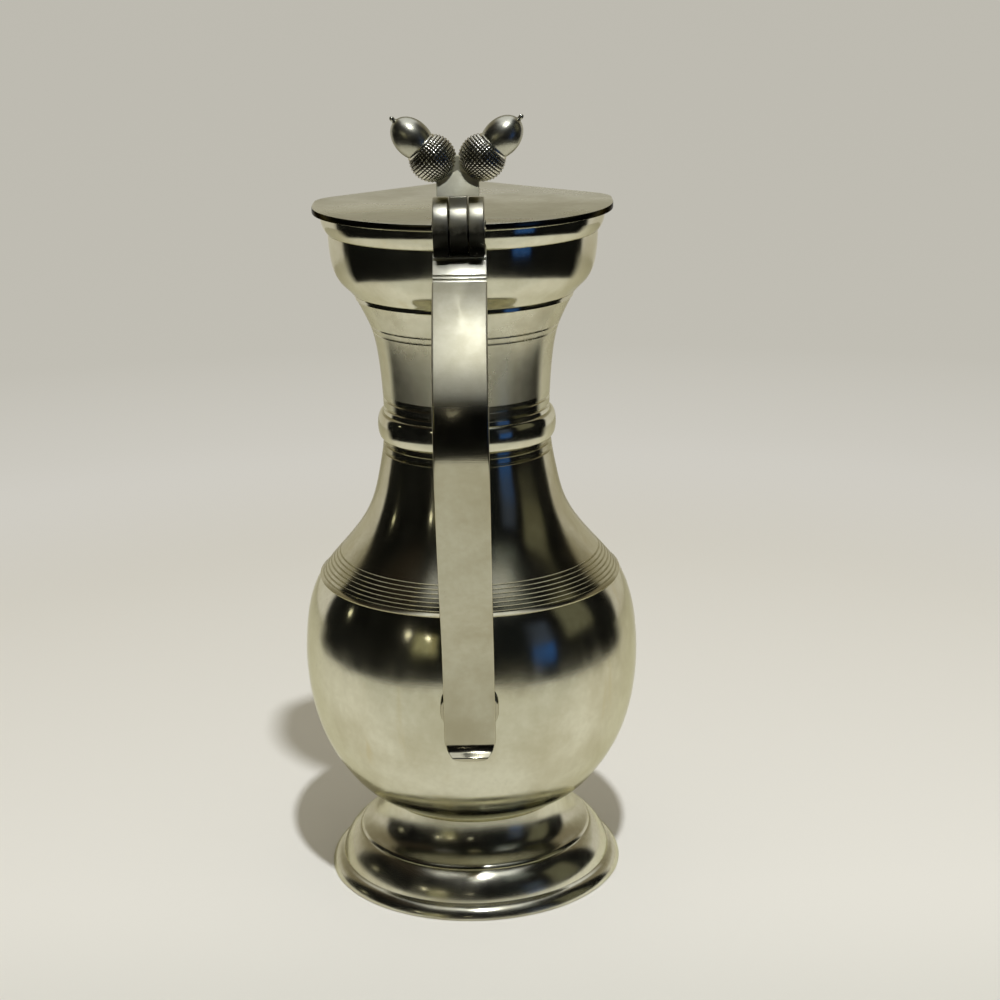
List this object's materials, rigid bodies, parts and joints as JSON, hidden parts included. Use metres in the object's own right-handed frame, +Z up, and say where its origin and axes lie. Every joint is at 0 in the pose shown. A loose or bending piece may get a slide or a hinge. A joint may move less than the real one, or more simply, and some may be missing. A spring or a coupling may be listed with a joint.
{
  "type": "lidded flagon",
  "caption": "Pear-shaped pewter flagon on a spreading foot, with a strap handle, a hinged heart-shaped lid and a twin-acorn thumbpiece.",
  "frame": {"origin": "foot's axis at the plane of its ring face, where the flagon stands", "axes": "+Z up along the body's axis, handle and hinge towards -Y, point of the lid towards +Y, hinge pin along X"},
  "size_m": [0.11, 0.1489, 0.2571],
  "materials": {
    "pewter_satin": "polished pewter, slightly dulled",
    "pewter_brushed": "pewter brushed across the strap",
    "pewter_knurled": "pewter with raised squares, dark in the grooves",
    "pewter_bright": "smooth cast pewter",
    "steel_pin": "drawn steel wire"
  },
  "bodies": {
    "flagon": {"foot": "pewter_satin", "bowl": "pewter_satin", "bottom_disc": "pewter_satin", "shoulder": "pewter_satin", "neck_ring": "pewter_satin", "neck": "pewter_satin", "mouth_cup": "pewter_satin", "handle_strap": "pewter_brushed", "handle_pad": "pewter_brushed", "hinge_block": "pewter_brushed", "hinge_ear_left": "pewter_brushed", "hinge_ear_right": "pewter_brushed", "hinge_pin": "steel_pin"},
    "lid": {"lid_plate": "pewter_satin", "lid_locating_ring": "pewter_satin", "hinge_knuckle": "pewter_brushed", "thumbpiece_stem": "pewter_brushed", "acorn_cup_left": "pewter_knurled", "acorn_cup_right": "pewter_knurled", "acorn_nut_left": "pewter_bright", "acorn_nut_right": "pewter_bright"}
  },
  "joints": [
    {"name": "lid_hinge", "type": "hinge", "parent": "flagon", "child": "lid", "pos_m": [0, -0.0562, 0.2257], "axis": [1, 0, 0], "range_deg": [0, 110]}
  ]
}
